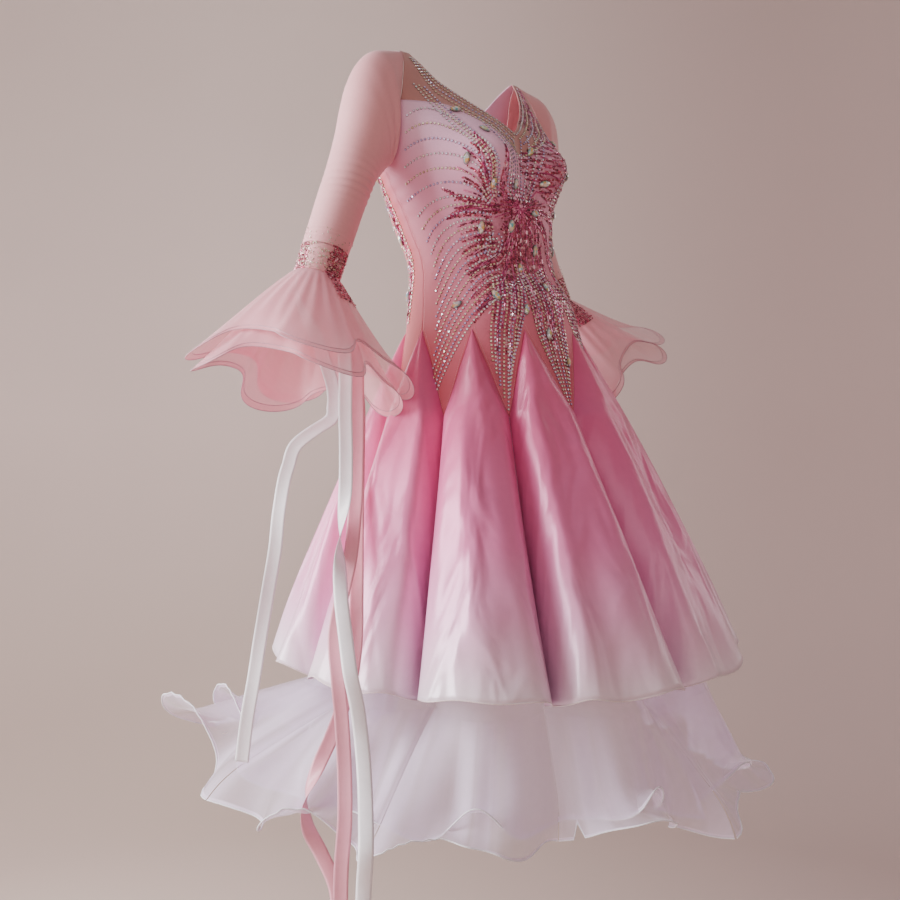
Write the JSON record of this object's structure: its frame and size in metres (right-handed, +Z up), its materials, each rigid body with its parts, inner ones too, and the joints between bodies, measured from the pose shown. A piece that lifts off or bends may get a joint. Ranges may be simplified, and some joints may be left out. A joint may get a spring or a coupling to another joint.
{
  "type": "ballroom dance dress",
  "caption": "Hollow-worn ballroom dress with stretch body, mesh yoke, flounced sleeves, satin godets and a tulle underskirt, its neck, cuffs and hem open for a wearer.",
  "frame": {"origin": "on the shoulder line, midway between the shoulders, at the height of the shoulder seams, where the wearer's shoulders carry the dress", "axes": "+Z up, -Y towards the front of the dress, +X towards the wearer's left"},
  "size_m": [1.099, 0.9845, 1.406],
  "materials": {
    "mesh_tan": "matt mesh",
    "lycra_pink": "soft stretch jersey",
    "mesh_pink": "sheer stretch mesh",
    "sequins": "sequinned band",
    "organza_pink": "crisp sheer organza",
    "satin_ombre": "glossy satin, pink fading to white",
    "tulle_white": "sheer tulle",
    "ribbon_white": "satin ribbon",
    "ribbon_pink": "satin ribbon"
  },
  "bodies": {
    "root": {"bodice_front": "lycra_pink", "bodice_back_left": "lycra_pink", "bodice_back_right": "lycra_pink", "yoke_front": "mesh_tan", "sleeve_right": "mesh_pink", "cuff_right": "sequins", "flounce_upper_right": "organza_pink", "flounce_lower_right": "organza_pink", "sleeve_left": "mesh_pink", "cuff_left": "sequins", "flounce_upper_left": "organza_pink", "flounce_lower_left": "organza_pink", "streamer_1": "ribbon_white", "streamer_2": "ribbon_white", "streamer_3": "ribbon_pink", "streamer_4": "ribbon_pink", "godet_01": "satin_ombre", "godet_02": "satin_ombre", "godet_03": "satin_ombre", "godet_04": "satin_ombre", "godet_05": "satin_ombre", "godet_06": "satin_ombre", "godet_07": "satin_ombre", "godet_08": "satin_ombre", "godet_09": "satin_ombre", "godet_10": "satin_ombre", "tulle_outer_01": "tulle_white", "tulle_outer_02": "tulle_white", "tulle_outer_03": "tulle_white", "tulle_outer_04": "tulle_white", "tulle_outer_05": "tulle_white", "tulle_outer_06": "tulle_white", "tulle_outer_07": "tulle_white", "tulle_outer_08": "tulle_white", "tulle_outer_09": "tulle_white", "tulle_outer_10": "tulle_white", "tulle_inner_01": "tulle_white", "tulle_inner_02": "tulle_white", "tulle_inner_03": "tulle_white", "tulle_inner_04": "tulle_white", "tulle_inner_05": "tulle_white"}
  },
  "joints": []
}
